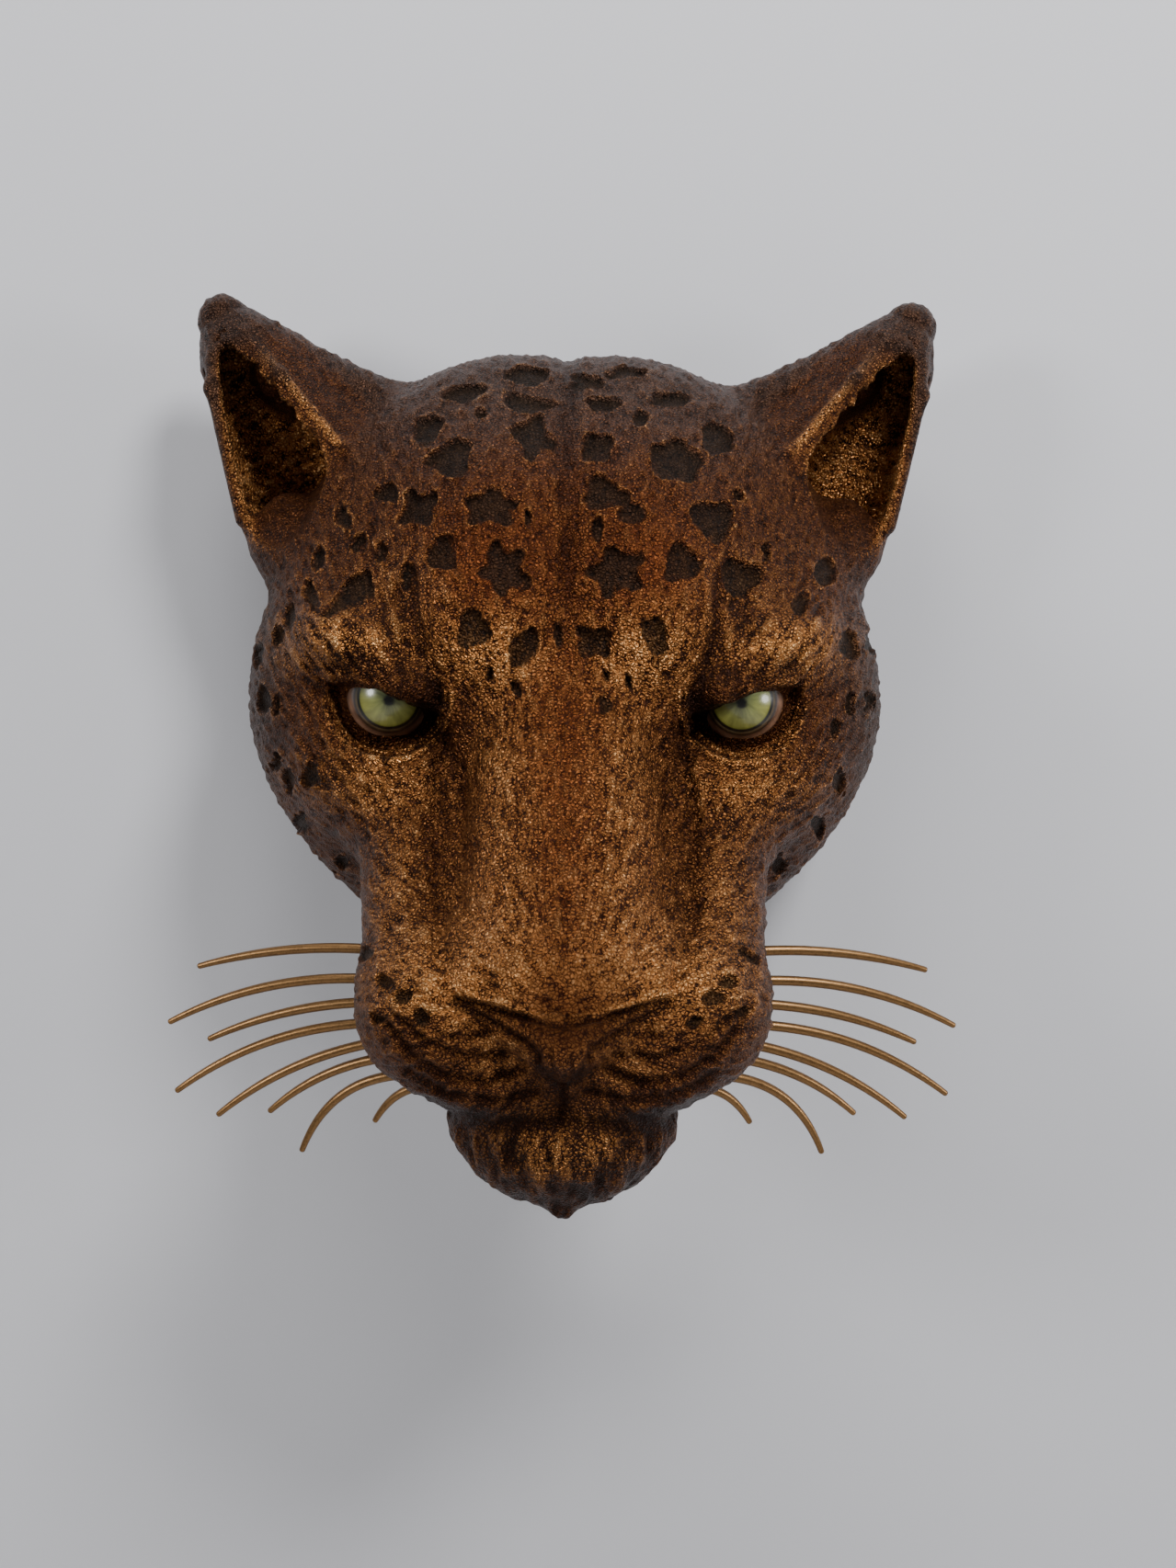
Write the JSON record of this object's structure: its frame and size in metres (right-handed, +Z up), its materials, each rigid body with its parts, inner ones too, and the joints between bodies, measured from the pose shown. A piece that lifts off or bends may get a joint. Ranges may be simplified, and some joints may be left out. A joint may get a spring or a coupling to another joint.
{
  "type": "leopard head wall sculpture",
  "caption": "Life-size leopard head for a wall, flat behind, with pricked hollow ears, glass eyes set in sockets, and bent whiskers rooted in the sides of the muzzle.",
  "frame": {"origin": "on the flat back, on the head's midline, 134 mm above the tip of the chin and 182 mm below the tips of the ears", "axes": "-Y is the way the face looks, +Y into the wall, +Z up, +X towards the head's left-hand side as the viewer sees it on the right"},
  "size_m": [0.274, 0.1805, 0.3159],
  "materials": {
    "bronze_patina": "dark brown bronze patina, rubbed to gold on the raised parts, half gloss",
    "whisker_bronze": "satin bronze rod",
    "eye_glass": "polished glass, yellow-green iris painted behind"
  },
  "bodies": {
    "root": {"head": "bronze_patina", "eye_left": "eye_glass", "eye_right": "eye_glass", "whisker_left_1": "whisker_bronze", "whisker_left_2": "whisker_bronze", "whisker_left_3": "whisker_bronze", "whisker_left_4": "whisker_bronze", "whisker_left_5": "whisker_bronze", "whisker_left_6": "whisker_bronze", "whisker_left_7": "whisker_bronze", "whisker_left_8": "whisker_bronze", "whisker_right_1": "whisker_bronze", "whisker_right_2": "whisker_bronze", "whisker_right_3": "whisker_bronze", "whisker_right_4": "whisker_bronze", "whisker_right_5": "whisker_bronze", "whisker_right_6": "whisker_bronze", "whisker_right_7": "whisker_bronze", "whisker_right_8": "whisker_bronze"}
  },
  "joints": []
}
